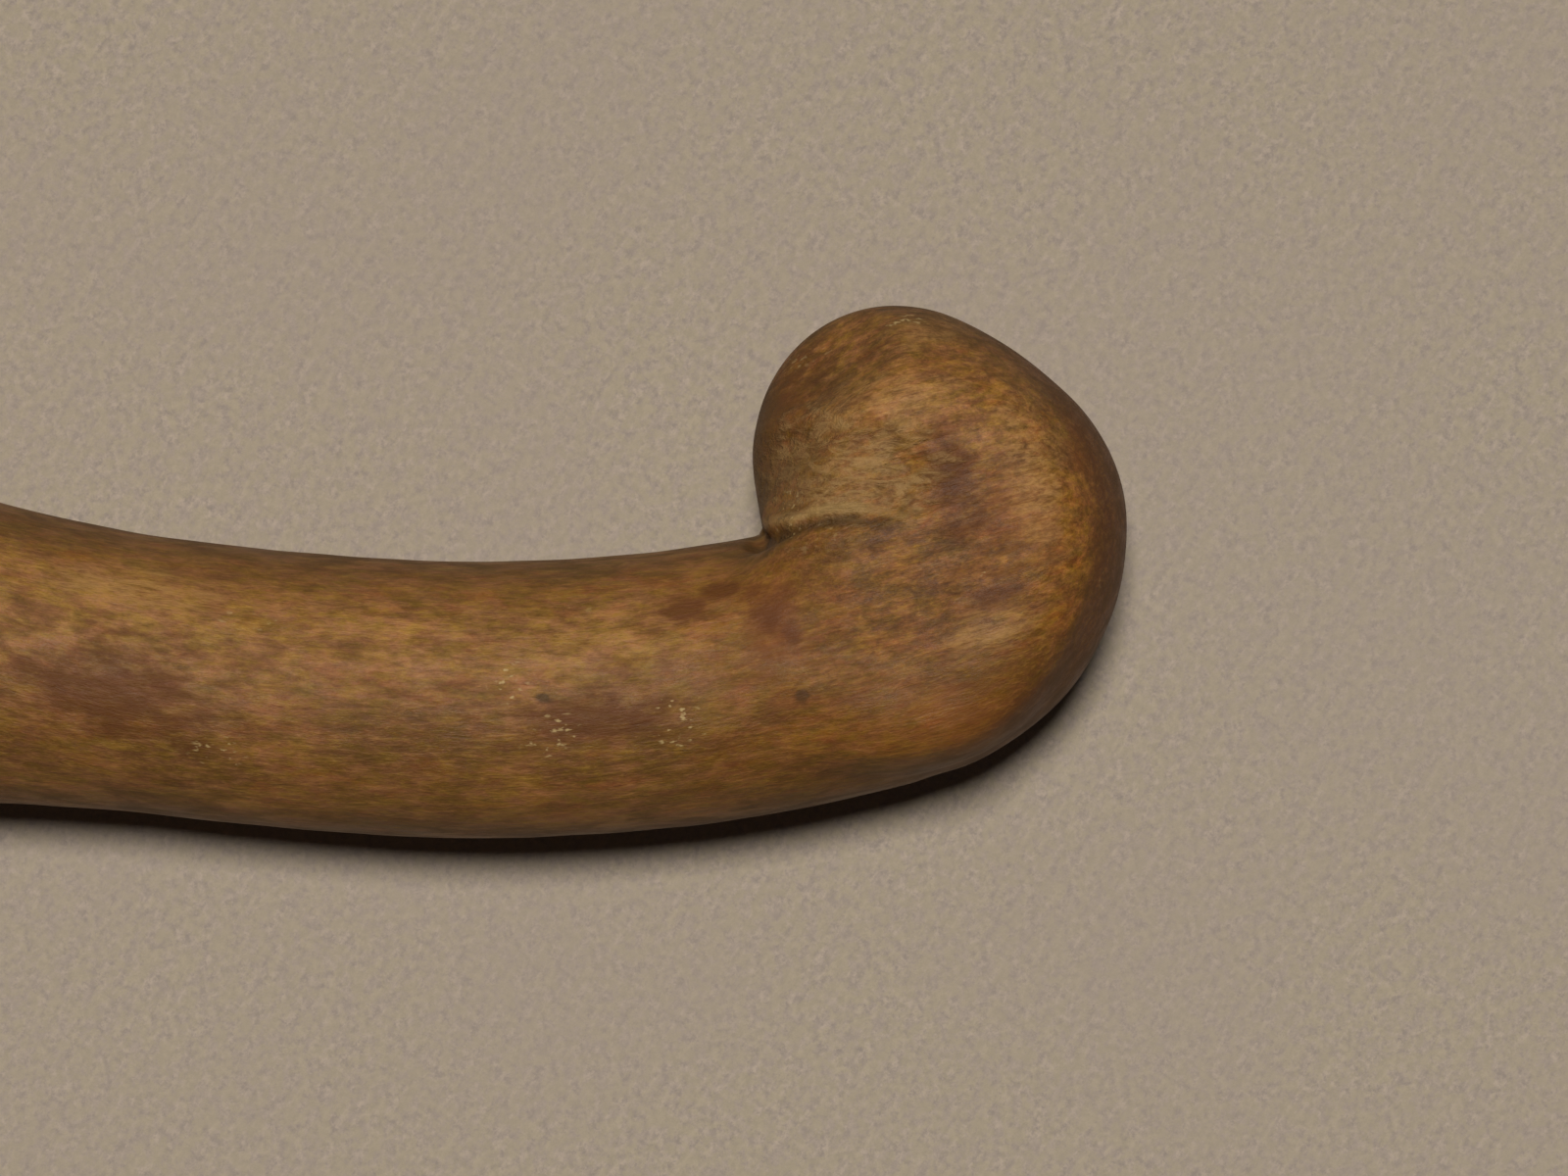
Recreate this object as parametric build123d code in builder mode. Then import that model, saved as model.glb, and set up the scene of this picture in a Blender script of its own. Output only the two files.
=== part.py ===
from build123d import *

import os

# Shuffleboard cue: a bent hardwood head on a long turned shaft, lying flat on a floor.
#
# Millimetres.  +X runs from the butt to the head, +Y to the left and +Z up.  The origin is on
# the floor, under the middle of the cue's length.  The shaft's axis and the middle plane of
# the head are both AXIS_Z above the floor, so the cue rests on the knobs at the ends of the
# head's two horns and on the rim of the butt cap.  Sizes along the cue near the head are
# measured forwards from the middle of its bent bar, which is at head_x.

# The cue as a whole
CUE_LENGTH = 1473.2  # 58 in, from the butt face to the front of the knobs
AXIS_Z = 12.0

# The bent bar of the head
BAR_BACK = -9.5
BAR_FRONT = 9.0
BAR_HEIGHT = 18.5
BAR_ROUNDING = 8.0
# Radius and turn in degrees of each arc of one horn, from the middle of the head outwards
BACK_ARCS = ((96.7, 23.4), (176.0, 10.6), (97.0, 8.0), (59.5, 15.5))
FRONT_ARCS = ((91.3, 18.0), (101.0, 16.0))
FRONT_OUTER_RADIUS = 139.0

# The toe and the knob at the end of each horn: radius and turn of each arc of the outline
TOE = (15.94, 66.5)
KNOB = (11.94, 56.0)
NOSE = (9.4, 128.6)
TIP_FLAT = 5.3  # straight front of the knob, square to the shaft
KNOB_INSIDE = 4.8  # straight inner side of the knob, down to the crook
CROOK_ROUNDING = 1.5
BALL_RADIUS = AXIS_Z  # each knob swells to a ball that touches the floor
BALL_INSET = 0.7  # how far the ball stays inside the knob's outline

# The swelling in the middle of the head, its socket stub and the mortise for the shaft
SWELL_RADIUS = 11.6
SWELL_HALF_LENGTH = 34.0
SWELL_X = -1.2
STUB_RADIUS = 11.1
STUB_BACK = -20.0
MORTISE_RADIUS = 6.5
MORTISE_FLOOR = 3.0

# The peg that holds the tenon in the mortise
PEG_X = -14.5
PEG_RADIUS = 2.5
PEG_LENGTH = 21.6

# The shaft
TENON_GAP = 0.5  # glue room at the floor of the mortise
FERRULE_LENGTH = 30.0
FERRULE_WALL = 0.9
FERRULE_BEAD = 0.6  # radius of the rolled bead at the back of the ferrule
SHAFT_RADIUS = 11.1
SHAFT_GRIP_RADIUS = 9.4
EVEN_LENGTH = 380.0  # length of even thickness behind the ferrule
SPIGOT_RADIUS = 7.0  # spigot for the butt cap
SPIGOT_LENGTH = 14.0

# The wedge in a saw kerf in the end of the tenon
KERF_DEPTH = 13.0
KERF_ROOT = 1.2
KERF_MOUTH = 2.4
WEDGE_WIDTH = 12.4

# The two pins through the ferrule, from above and from below
PIN_FROM_SEAT = 22.0
PIN_RADIUS = 0.8
PIN_LENGTH = 6.0
PIN_HEAD_RADIUS = 1.5
PIN_HEAD_RISE = 0.5
PIN_HEAD_ROUNDING = 0.4
PIN_HEAD_SUNK = 0.12  # flat seat filed on the round ferrule for each head

# The leather grip and its two thread whippings
GRIP_LENGTH = 270.0
GRIP_TO_CAP = 4.0
LEATHER = 1.4
WHIPPING_LENGTH = 12.0
WHIPPING = 0.9

# The butt cap, its cup washer and its screw
CAP_RADIUS = AXIS_Z
CAP_LENGTH = 26.0
CAP_BARREL = 14.0  # straight part at the butt, before the cove
CAP_RIM_ROUNDING = 2.5
WASHER_RADIUS = 5.6
WASHER_BORE = 2.4
WASHER_DEPTH = 2.4
SCREW_HEAD_RADIUS = 4.2
SCREW_HEAD_DEPTH = 2.1
SCREW_SHANK_RADIUS = 2.1
SCREW_LENGTH = 36.0
SCREW_POINT = 5.0
SCREW_TIP_RADIUS = 0.3  # the very end of the point is blunt
SCREW_INSET = 0.3  # washer and screw head lie just under the cap's end face
SLOT_WIDTH = 1.0
SLOT_DEPTH = 1.0


def walk(start, heading, arcs):
    """Draws tangent arcs one after another and gives the end point and the heading there."""
    for radius, turn in arcs:
        arc = JernArc(start=start, tangent=heading, radius=radius, arc_size=turn)
        start = arc @ 1
        heading = arc % 1
    return start, heading


def horn_outline():
    """The outline of one horn, from the back of the bar's middle round the knob to its front."""
    outwards = (0, -1)
    with BuildLine() as outline:
        tip, heading = walk((BAR_BACK, 0), outwards, BACK_ARCS + (TOE, KNOB))
        flat_end = tip + heading * TIP_FLAT
        Line(tip, flat_end)
        nose_end, heading = walk(flat_end, heading, (NOSE,))
        crook = nose_end + heading * KNOB_INSIDE
        Line(nose_end, crook)
        front, heading = walk((BAR_FRONT, 0), outwards, FRONT_ARCS)
        RadiusArc(front, crook, FRONT_OUTER_RADIUS)
    return outline.edges(), tip, crook


def is_crook(edge):
    """True for the two upright edges where a knob's inner side meets the bar."""
    return abs(abs(edge.center().Y) - abs(crook.Y)) < CROOK_ROUNDING / 2


def side_view(x):
    """A plane along the cue with its origin on the axis: local X forwards, local Y up."""
    return Plane(origin=(x, 0, AXIS_Z), x_dir=(1, 0, 0), z_dir=(0, -1, 0))


def top_view(x):
    """A level plane through the axis with its origin at x."""
    return Plane(origin=(x, 0, AXIS_Z), x_dir=(1, 0, 0), z_dir=(0, 0, 1))


def facing_back(x):
    """A plane square to the cue at x, facing the butt."""
    return Plane(origin=(x, 0, AXIS_Z), x_dir=(0, -1, 0), z_dir=(-1, 0, 0))


def save(builder, name):
    """Labels a finished piece and writes its file."""
    builder.part.label = name
    export_step(builder.part, f"parts/{name}.step")


os.makedirs("parts", exist_ok=True)

horn_edges, knob_tip, crook = horn_outline()
head_x = CUE_LENGTH / 2 - knob_tip.X
tenon_x = head_x + MORTISE_FLOOR - TENON_GAP
seat_x = head_x + STUB_BACK
ferrule_x = seat_x - FERRULE_LENGTH
pin_x = seat_x - PIN_FROM_SEAT
butt_x = -CUE_LENGTH / 2
cap_front_x = butt_x + CAP_LENGTH
grip_x = cap_front_x + GRIP_TO_CAP
grip_front_x = grip_x + GRIP_LENGTH
screw_x = butt_x + SCREW_INSET
cue_axis = Axis((0, 0, AXIS_Z), (1, 0, 0))

# Head: a bar bent to a crescent, with a knob turned in at the end of each horn, a swelling
# in the middle and a socket stub behind it
ball_x = knob_tip.X - KNOB[0] - BALL_INSET
ball_y = -knob_tip.Y - BALL_INSET
with BuildPart() as head:
    with BuildSketch(top_view(head_x)):
        with BuildLine():
            add(horn_edges)
            mirror(about=Plane.XZ)
        make_face()
    extrude(amount=BAR_HEIGHT / 2, both=True)
    fillet(head.edges().filter_by(Axis.Z).filter_by(is_crook), CROOK_ROUNDING)
    fillet(head.faces().sort_by(Axis.Z)[-1].edges(), BAR_ROUNDING)
    fillet(head.faces().sort_by(Axis.Z)[0].edges(), BAR_ROUNDING)
    with Locations((head_x + ball_x, ball_y, AXIS_Z), (head_x + ball_x, -ball_y, AXIS_Z)):
        Sphere(BALL_RADIUS, rotation=(90, 0, 0))
    with BuildSketch(top_view(head_x + SWELL_X)):
        Ellipse(SWELL_RADIUS, SWELL_HALF_LENGTH)
        split(bisect_by=Plane.YZ)
    revolve(axis=Axis((head_x + SWELL_X, 0, AXIS_Z), (0, 1, 0)))
    with BuildSketch(facing_back(head_x)):
        Circle(STUB_RADIUS)
    extrude(amount=-STUB_BACK)
    with BuildSketch(facing_back(head_x + MORTISE_FLOOR)):
        Circle(MORTISE_RADIUS)
    extrude(amount=MORTISE_FLOOR - STUB_BACK, mode=Mode.SUBTRACT)
    with BuildSketch(top_view(head_x + PEG_X)):
        Circle(PEG_RADIUS)
    extrude(amount=STUB_RADIUS, both=True, mode=Mode.SUBTRACT)
save(head, "bent_head")

# Shaft: turned, with a tenon in front, a seat for the ferrule, a taper down to the grip and
# a spigot for the butt cap
shaft_profile = (
    (cap_front_x - SPIGOT_LENGTH, 0),
    (cap_front_x - SPIGOT_LENGTH, SPIGOT_RADIUS),
    (cap_front_x, SPIGOT_RADIUS),
    (cap_front_x, SHAFT_GRIP_RADIUS),
    (grip_front_x, SHAFT_GRIP_RADIUS),
    (ferrule_x - EVEN_LENGTH, SHAFT_RADIUS),
    (ferrule_x, SHAFT_RADIUS),
    (ferrule_x, SHAFT_RADIUS - FERRULE_WALL),
    (seat_x, SHAFT_RADIUS - FERRULE_WALL),
    (seat_x, MORTISE_RADIUS),
    (tenon_x, MORTISE_RADIUS),
    (tenon_x, 0),
)
kerf_corners = (
    (-KERF_DEPTH, KERF_ROOT / 2),
    (0, KERF_MOUTH / 2),
    (0, -KERF_MOUTH / 2),
    (-KERF_DEPTH, -KERF_ROOT / 2),
)
screw_profile = (
    (0, 0),
    (0, SCREW_HEAD_RADIUS),
    (SCREW_HEAD_DEPTH, SCREW_SHANK_RADIUS),
    (SCREW_LENGTH - SCREW_POINT, SCREW_SHANK_RADIUS),
    (SCREW_LENGTH, SCREW_TIP_RADIUS),
    (SCREW_LENGTH, 0),
)
with BuildPart() as shaft:
    with BuildSketch(side_view(0)):
        with BuildLine():
            Polyline(*shaft_profile, close=True)
        make_face()
    revolve(axis=cue_axis)
    with BuildSketch(side_view(tenon_x)):
        with BuildLine():
            Polyline(*kerf_corners, close=True)
        make_face()
    extrude(amount=MORTISE_RADIUS, both=True, mode=Mode.SUBTRACT)
    with BuildSketch(top_view(head_x + PEG_X)):
        Circle(PEG_RADIUS)
    extrude(amount=MORTISE_RADIUS, both=True, mode=Mode.SUBTRACT)
    with BuildSketch(top_view(pin_x).offset(SHAFT_RADIUS - PIN_LENGTH)):
        Circle(PIN_RADIUS)
    pin_hole = extrude(amount=PIN_LENGTH, mode=Mode.SUBTRACT)
    mirror(pin_hole, about=top_view(pin_x), mode=Mode.SUBTRACT)
    with BuildSketch(side_view(screw_x)):
        with BuildLine():
            Polyline(*screw_profile, close=True)
        make_face()
    revolve(axis=cue_axis, mode=Mode.SUBTRACT)
save(shaft, "shaft")

# Wedge: fills the kerf in the tenon, a little narrower than the tenon is wide
with BuildPart() as wedge:
    with BuildSketch(side_view(tenon_x)):
        with BuildLine():
            Polyline(*kerf_corners, close=True)
        make_face()
    extrude(amount=WEDGE_WIDTH / 2, both=True)
save(wedge, "tenon_wedge")

# Peg: up through the socket stub and the tenon
with BuildPart() as peg:
    with BuildSketch(top_view(head_x + PEG_X)):
        Circle(PEG_RADIUS)
    extrude(amount=PEG_LENGTH / 2, both=True)
save(peg, "head_peg")

# Ferrule: a thin tube behind the head's socket stub, rolled to a bead at its back end
with BuildPart() as ferrule:
    with BuildSketch(side_view(ferrule_x)):
        with Locations((FERRULE_LENGTH / 2, SHAFT_RADIUS - FERRULE_WALL / 2)):
            Rectangle(FERRULE_LENGTH, FERRULE_WALL)
        with Locations((FERRULE_BEAD, SHAFT_RADIUS)):
            Circle(FERRULE_BEAD)
    revolve(axis=cue_axis)
    with BuildSketch(top_view(pin_x)):
        Circle(PIN_RADIUS)
    extrude(amount=AXIS_Z, both=True, mode=Mode.SUBTRACT)
    with BuildSketch(top_view(pin_x).offset(SHAFT_RADIUS - PIN_HEAD_SUNK)):
        Circle(PIN_HEAD_RADIUS)
    pin_seat = extrude(amount=PIN_HEAD_RISE, mode=Mode.SUBTRACT)
    mirror(pin_seat, about=top_view(pin_x), mode=Mode.SUBTRACT)
save(ferrule, "ferrule")

# Ferrule pins: domed heads outside the ferrule, shanks in the wood of the shaft
with BuildPart() as pins:
    with BuildSketch(top_view(pin_x).offset(SHAFT_RADIUS - PIN_LENGTH)):
        Circle(PIN_RADIUS)
    extrude(amount=PIN_LENGTH)
    with BuildSketch(top_view(pin_x).offset(SHAFT_RADIUS - PIN_HEAD_SUNK)):
        Circle(PIN_HEAD_RADIUS)
    extrude(amount=PIN_HEAD_RISE)
    fillet(pins.faces().sort_by(Axis.Z)[-1].edges(), PIN_HEAD_ROUNDING)
    mirror(about=top_view(pin_x))
save(pins, "ferrule_pins")

# Grip: leather wrapped round the thin end of the shaft
with BuildPart() as grip:
    with BuildSketch(side_view(grip_x)):
        with Locations((GRIP_LENGTH / 2, SHAFT_GRIP_RADIUS + LEATHER / 2)):
            Rectangle(GRIP_LENGTH, LEATHER)
    revolve(axis=cue_axis)
save(grip, "grip_leather")

# Whippings: waxed thread wound over each end of the leather
whipping_places = (
    ("grip_whipping_rear", grip_x),
    ("grip_whipping_front", grip_front_x - WHIPPING_LENGTH),
)
for whipping_name, whipping_x in whipping_places:
    with BuildPart() as whipping:
        with BuildSketch(side_view(whipping_x)):
            with Locations((WHIPPING_LENGTH / 2, SHAFT_GRIP_RADIUS + LEATHER + WHIPPING / 2)):
                Rectangle(WHIPPING_LENGTH, WHIPPING)
        revolve(axis=cue_axis)
        fillet(whipping.faces().sort_by(Axis.X)[0].outer_wire().edges(), WHIPPING / 2)
        fillet(whipping.faces().sort_by(Axis.X)[-1].outer_wire().edges(), WHIPPING / 2)
    save(whipping, whipping_name)

# Butt cap: turned, with a socket for the spigot, a clearance hole for the screw and a
# recess for the cup washer
recess_depth = SCREW_INSET + WASHER_DEPTH
with BuildPart() as cap:
    with BuildSketch(side_view(butt_x)):
        with BuildLine():
            shoulder = (CAP_BARREL, CAP_RADIUS)
            neck = (CAP_LENGTH, SHAFT_GRIP_RADIUS)
            TangentArc(neck, shoulder, tangent=(-1, 0))
            Polyline(
                shoulder,
                (0, CAP_RADIUS),
                (0, WASHER_RADIUS),
                (recess_depth, WASHER_RADIUS),
                (recess_depth, WASHER_BORE),
                (CAP_LENGTH - SPIGOT_LENGTH, WASHER_BORE),
                (CAP_LENGTH - SPIGOT_LENGTH, SPIGOT_RADIUS),
                (CAP_LENGTH, SPIGOT_RADIUS),
                neck,
            )
        make_face()
    revolve(axis=cue_axis)
    fillet(cap.faces().sort_by(Axis.X)[0].outer_wire().edges(), CAP_RIM_ROUNDING)
save(cap, "butt_cap")

# Cup washer: a ring with a conical seat for the screw's head
with BuildPart() as washer:
    with BuildSketch(side_view(screw_x)):
        with BuildLine():
            Polyline(
                (0, WASHER_RADIUS),
                (0, SCREW_HEAD_RADIUS),
                (SCREW_HEAD_RADIUS - WASHER_BORE, WASHER_BORE),
                (WASHER_DEPTH, WASHER_BORE),
                (WASHER_DEPTH, WASHER_RADIUS),
                close=True,
            )
        make_face()
    revolve(axis=cue_axis)
save(washer, "cup_washer")

# Butt screw: a slotted countersunk wood screw
with BuildPart() as screw:
    with BuildSketch(side_view(screw_x)):
        with BuildLine():
            Polyline(*screw_profile, close=True)
        make_face()
    revolve(axis=cue_axis)
    with BuildSketch(facing_back(screw_x)):
        Rectangle(SLOT_WIDTH, 2 * SCREW_HEAD_RADIUS)
    extrude(amount=-SLOT_DEPTH, mode=Mode.SUBTRACT)
save(screw, "butt_screw")
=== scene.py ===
"""Shuffleboard cue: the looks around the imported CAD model.

Metres in Blender; the head, the grip strip and the whippings are worked out in millimetres
and scaled at the end.  The frame is the CAD's: +X butt to head, +Y left, +Z up, origin on the
floor under the middle of the cue.
"""

from math import cos, pi, radians, sin
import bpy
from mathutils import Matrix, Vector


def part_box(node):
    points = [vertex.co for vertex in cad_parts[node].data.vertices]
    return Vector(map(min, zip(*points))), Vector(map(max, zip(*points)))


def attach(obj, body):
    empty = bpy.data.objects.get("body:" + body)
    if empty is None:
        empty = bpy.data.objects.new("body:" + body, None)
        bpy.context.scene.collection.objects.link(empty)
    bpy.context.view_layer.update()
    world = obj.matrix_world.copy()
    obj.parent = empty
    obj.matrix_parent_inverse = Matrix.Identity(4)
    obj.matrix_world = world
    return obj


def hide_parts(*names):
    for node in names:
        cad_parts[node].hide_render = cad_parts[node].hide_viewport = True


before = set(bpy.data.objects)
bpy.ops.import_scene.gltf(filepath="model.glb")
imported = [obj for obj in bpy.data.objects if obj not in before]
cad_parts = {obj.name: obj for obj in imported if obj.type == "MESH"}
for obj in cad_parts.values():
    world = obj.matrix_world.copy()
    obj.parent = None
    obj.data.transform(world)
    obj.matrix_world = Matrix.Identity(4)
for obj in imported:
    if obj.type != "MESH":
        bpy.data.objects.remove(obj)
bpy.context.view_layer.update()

from types import SimpleNamespace

import bpy
import numpy as np
from mathutils import Vector, noise

MM = 0.001

# ---------------------------------------------------------------- places read from the frame
head_low, head_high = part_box("bent_head")
grip_low, grip_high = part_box("grip_leather")
cap_low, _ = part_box("butt_cap")
peg_low, peg_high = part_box("head_peg")

STUB_LENGTH = 20.0  # from the back of the socket stub to the middle of the bar
HEAD_X = head_low.x / MM + STUB_LENGTH  # middle of the bent bar
AXIS_Z = (head_low.z + head_high.z) / 2 / MM
PEG_X = (peg_low.x + peg_high.x) / 2 / MM
PEG_RADIUS = (peg_high.x - peg_low.x) / 2 / MM

# ---------------------------------------------------------------- the head's shape, in mm
# Sizes along the head are measured from the middle of its bar, x forwards and y to the left.
# The right-hand horn is drawn; the left-hand one is its mirror image.
BAR_START_X = 0.06
BAR_STEP = 0.5  # between points along the bar
BAR_ARCS = ((22.0, 12.8), (22.0, 13.3), (20.0, 7.0), (16.0, 9.7), (10.0, 5.4))  # length, turn
BAR_HALF_WIDTH = 8.8
BAR_HALF_HEIGHT = 9.25
TOE_CENTRE = (43.1, -75.4)  # the toe's outline is an arc about this point
TOE_RADIUS = 15.94
TOE_START, TOE_TURN = -123.7, 68.7
TOE_BALLS = (9.4, 11.94)  # radius of the ball inside the toe, at the start and the end of it
TIP_CENTRE = (48.12, -73.65)
TIP_RADIUS = 9.2
TIP_BULGE = 0.3  # how far the knob's front swells past a straight line
LEAD_STEPS = 8  # from ball to ball between the bar and the toe
TOE_STEPS = 29
TIP_STEPS = 20
KNOB_TOP = 9.5  # the knob is flattened on top, this far above the middle plane
KNOB_TOP_EDGE = 1.5
HEAD_FLOOR = 11.97  # and stands on the floor underneath
KNOB_START_X = 32.0  # only what is forward of this is flattened
KNOB_FADE = 4.0  # in full from this far further on
GRAIN_BEYOND = 34.0  # the grain runs straight on through the knob, past the end of the bar

SWELL = (11.5, 33.0, 11.5)  # half axes of the swelling in the middle
SWELL_X = -1.2
STUB_RADIUS = 11.1
SWELL_BLEND = 6.0
STUB_BLEND = 3.5
MORTISE_RADIUS = 6.5
MORTISE_FLOOR = 3.0
TOE_BLEND = 5.0  # rounding between the bar and the toe on the faces
TIP_BLEND = 1.5
OUTLINE_HEIGHT = 2.5  # within this of the middle plane there is next to no rounding
ROUNDING_HEIGHT = 5.0  # it grows to the full width over this height
LEAST_ROUNDING = 0.05  # share of it that is left at the outline

CELL = 0.45  # grid spacing of the solid that the head is cut from
HEAD_REACH = (58.0, 92.0, 12.5)  # the grid's reach forwards, to each side, and up and down

# Wear by hand: depth, size of its lumps, and where its noise starts
WEAR = ((0.12, 14.0, 0.0), (0.05, 4.0, 7.0))
WEAR_START = (-16.0, -8.0)  # it fades in from the socket's mouth, between these places


def walk_bar():
    """Evenly spaced points along the middle of the right-hand horn's bar, with headings."""
    point = np.array([BAR_START_X, 0.0])
    heading = -pi / 2
    points, headings = [point], [heading]
    for length, turn in BAR_ARCS:
        count = round(length / BAR_STEP)
        for _ in range(count):
            bend = radians(turn) / count
            heading += bend / 2
            point = point + BAR_STEP * np.array([cos(heading), sin(heading)])
            heading += bend / 2
            points.append(point)
            headings.append(heading)
    return np.array(points), np.array(headings)


def horn_balls():
    """Centres, radii and height ratios of the balls that fill a horn: bar, toe and tip."""
    bar, _ = walk_bar()
    bar_tall = BAR_HALF_HEIGHT / BAR_HALF_WIDTH
    toe_share = np.linspace(0, 1, TOE_STEPS + 1)
    toe_radius = TOE_BALLS[0] + (TOE_BALLS[1] - TOE_BALLS[0]) * toe_share
    toe_angle = np.radians(TOE_START + TOE_TURN * toe_share)
    outwards = np.stack([np.cos(toe_angle), np.sin(toe_angle)], 1)
    toe = np.array(TOE_CENTRE) + (TOE_RADIUS - toe_radius)[:, None] * outwards
    toe_tall = bar_tall + (1 - bar_tall) * toe_share
    lead_share = np.linspace(0, 1, LEAD_STEPS + 1)[1:-1]
    lead = bar[-1] + (toe[0] - bar[-1]) * lead_share[:, None]
    lead_radius = BAR_HALF_WIDTH + (TOE_BALLS[0] - BAR_HALF_WIDTH) * lead_share
    tip_share = np.linspace(0, 1, TIP_STEPS + 1)[1:]
    tip = toe[-1] + (np.array(TIP_CENTRE) - toe[-1]) * tip_share[:, None]
    tip_radius = TOE_BALLS[1] + (TIP_RADIUS - TOE_BALLS[1]) * tip_share
    tip_radius += TIP_BULGE * 4 * tip_share * (1 - tip_share)
    bar_radius = np.full(len(bar), BAR_HALF_WIDTH)
    straight = (np.concatenate([bar, lead]), np.concatenate([bar_radius, lead_radius]))
    return (
        (*straight, np.full(len(straight[0]), bar_tall)),
        (toe, toe_radius, toe_tall),
        (tip, tip_radius, np.ones(len(tip))),
    )


def blend_union(one, other, width):
    """The union of two distance fields, with a rounded inside corner."""
    share = np.clip(0.5 + (other - one) / (2 * width), 0, 1)
    return other * (1 - share) + one * share - width * share * (1 - share)


def blend_cut(body, cutter, width):
    """What is left of body where cutter is negative, with a rounded edge."""
    return -blend_union(-body, -cutter, width)


def balls_field(axes, balls):
    """The union of balls on both sides of the head as a distance field on a grid."""
    far = 8.0  # the field isn't worked out further from a ball than this
    near_middle = 45.0  # nearer the ends, half as far is enough
    field = np.full([len(axis) for axis in axes], far, np.float32)
    for side in (1, -1):
        for centre, radius, tall in zip(*balls):
            place = (centre[0], side * centre[1], 0.0)
            reach = radius + (far if abs(centre[1]) < near_middle else far / 2)
            window = tuple(
                slice(*np.searchsorted(axis, (p - reach, p + reach))) for axis, p in zip(axes, place)
            )
            x, y, z = (axis[part] for axis, part in zip(axes, window))
            squared = (x - place[0])[:, None, None] ** 2 + (y - place[1])[None, :, None] ** 2
            distance = np.sqrt(squared + (z / tall)[None, None, :] ** 2) - radius
            field[window] = np.minimum(field[window], distance)
    return field


def head_field():
    """The head as a distance field on a grid, in mm from the middle of the bar."""
    margin = 4 * CELL
    forwards, sideways, upwards = HEAD_REACH
    low = np.array([-STUB_LENGTH, -sideways, -upwards]) - margin
    high = np.array([forwards, sideways, upwards]) + margin
    axes = [np.arange(a, b, CELL) for a, b in zip(low, high)]
    x, y, z = np.meshgrid(*axes, indexing="ij", sparse=True)
    bar, toe, tip = (balls_field(axes, balls) for balls in horn_balls())
    rounding = np.clip((np.abs(z) - OUTLINE_HEIGHT) / ROUNDING_HEIGHT, LEAST_ROUNDING, 1)
    toe = cut_facets(toe, (CROOK_CUT,), x, y, z)
    tip = cut_facets(tip, (*FACETS, CROOK_CUT), x, y, z)
    field = blend_union(bar, toe, TOE_BLEND * rounding)
    field = blend_union(field, tip, TIP_BLEND * rounding)
    scaled = np.sqrt(((x - SWELL_X) / SWELL[0]) ** 2 + (y / SWELL[1]) ** 2 + (z / SWELL[2]) ** 2)
    field = blend_union(field, (scaled - 1) * SWELL[0], SWELL_BLEND)
    from_axis = np.sqrt(y**2 + z**2)
    stub = np.maximum(from_axis - STUB_RADIUS, np.abs(x + STUB_LENGTH / 2) - STUB_LENGTH / 2)
    field = blend_union(field, stub, STUB_BLEND)
    field = np.maximum(field, -STUB_LENGTH - x)
    field = flatten_knobs(field, x, y, z)
    mortise = np.maximum(from_axis - MORTISE_RADIUS, x - MORTISE_FLOOR)
    field = np.maximum(field, -mortise)
    from_peg = np.sqrt((x - PEG_X + HEAD_X) ** 2 + y**2)
    field = np.maximum(field, PEG_RADIUS - from_peg)
    return field, low


# Knife cuts round each knob's tip.  Directions are in the head's plane, in degrees from
# KNOB_TURN, turning forwards; tilt is from straight up.
KNOB_TURN = radians(-56.0)  # from +X, on the right-hand side
KNOB_CENTRE = (46.7, -76.0)
FACETS = (  # direction, tilt, distance from the knob's centre
    (176.0, 50.0, 10.0),
    (132.0, 54.0, 10.0),
    (75.0, 50.0, 11.0),
    (22.0, 52.0, 10.9),
)
CROOK_CUT = (191.2, 90.0, 10.05)  # the upright cut on the inner side, down into the crook
FACET_EDGE = 0.6

# The hollow that the knife left beside the crook, and the crease below it, in knob coordinates
HOLLOW_CENTRE = (-5.4, 1.0)
HOLLOW_SIZE = (6.0, 3.6)
HOLLOW_EDGE = (0.7, 1.1)  # it comes up to the surface between these shares of its size
HOLLOW_DEPTH = 0.75
CREASE_CENTRE = (-4.8, -13.4)  # the crease is an arc about this point
CREASE_RADIUS = 11.3
CREASE_FRONT = (63.0, 105.0)  # it fades in from the first angle to the second
CREASE_BACK = (124.0, 117.0)  # and ends in the crook
CREASE_DEPTH = 0.75
CREASE_HALF_WIDTH = 0.4
CARVED_HEIGHTS = (0.0, 3.0)  # both fade out down the knob's side, between these heights


def cut_facets(field, facets, x, y, z):
    """Cuts flats on each knob."""
    outwards = -np.abs(y) - KNOB_CENTRE[1]
    for direction, tilt, distance in facets:
        turn, lean = KNOB_TURN + radians(direction), radians(tilt)
        along = (x - KNOB_CENTRE[0]) * cos(turn) + outwards * sin(turn)
        field = blend_cut(field, along * sin(lean) + z * cos(lean) - distance, FACET_EDGE)
    return field


def flatten_knobs(field, x, y, z):
    """Flattens the top and the foot of each knob."""
    flattened = blend_cut(field, z - KNOB_TOP, KNOB_TOP_EDGE)
    flattened = np.maximum(flattened, -z - HEAD_FLOOR)
    share = np.clip((x - KNOB_START_X) / KNOB_FADE, 0, 1)
    return (field * (1 - share) + flattened * share).astype(np.float32)


def knob_places(points):
    """Coordinates in mm about the nearer knob's centre: towards KNOB_TURN, forwards of it, up."""
    x = points[:, 0] - KNOB_CENTRE[0]
    y = -np.abs(points[:, 1]) - KNOB_CENTRE[1]
    along = x * cos(KNOB_TURN) + y * sin(KNOB_TURN)
    forwards = y * cos(KNOB_TURN) - x * sin(KNOB_TURN)
    return np.stack([along, forwards, points[:, 2]], 1)


def smooth(value, low, high):
    """0 below low, 1 above high, and smooth between."""
    share = np.clip((value - low) / (high - low), 0, 1)
    return share * share * (3 - 2 * share)


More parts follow.
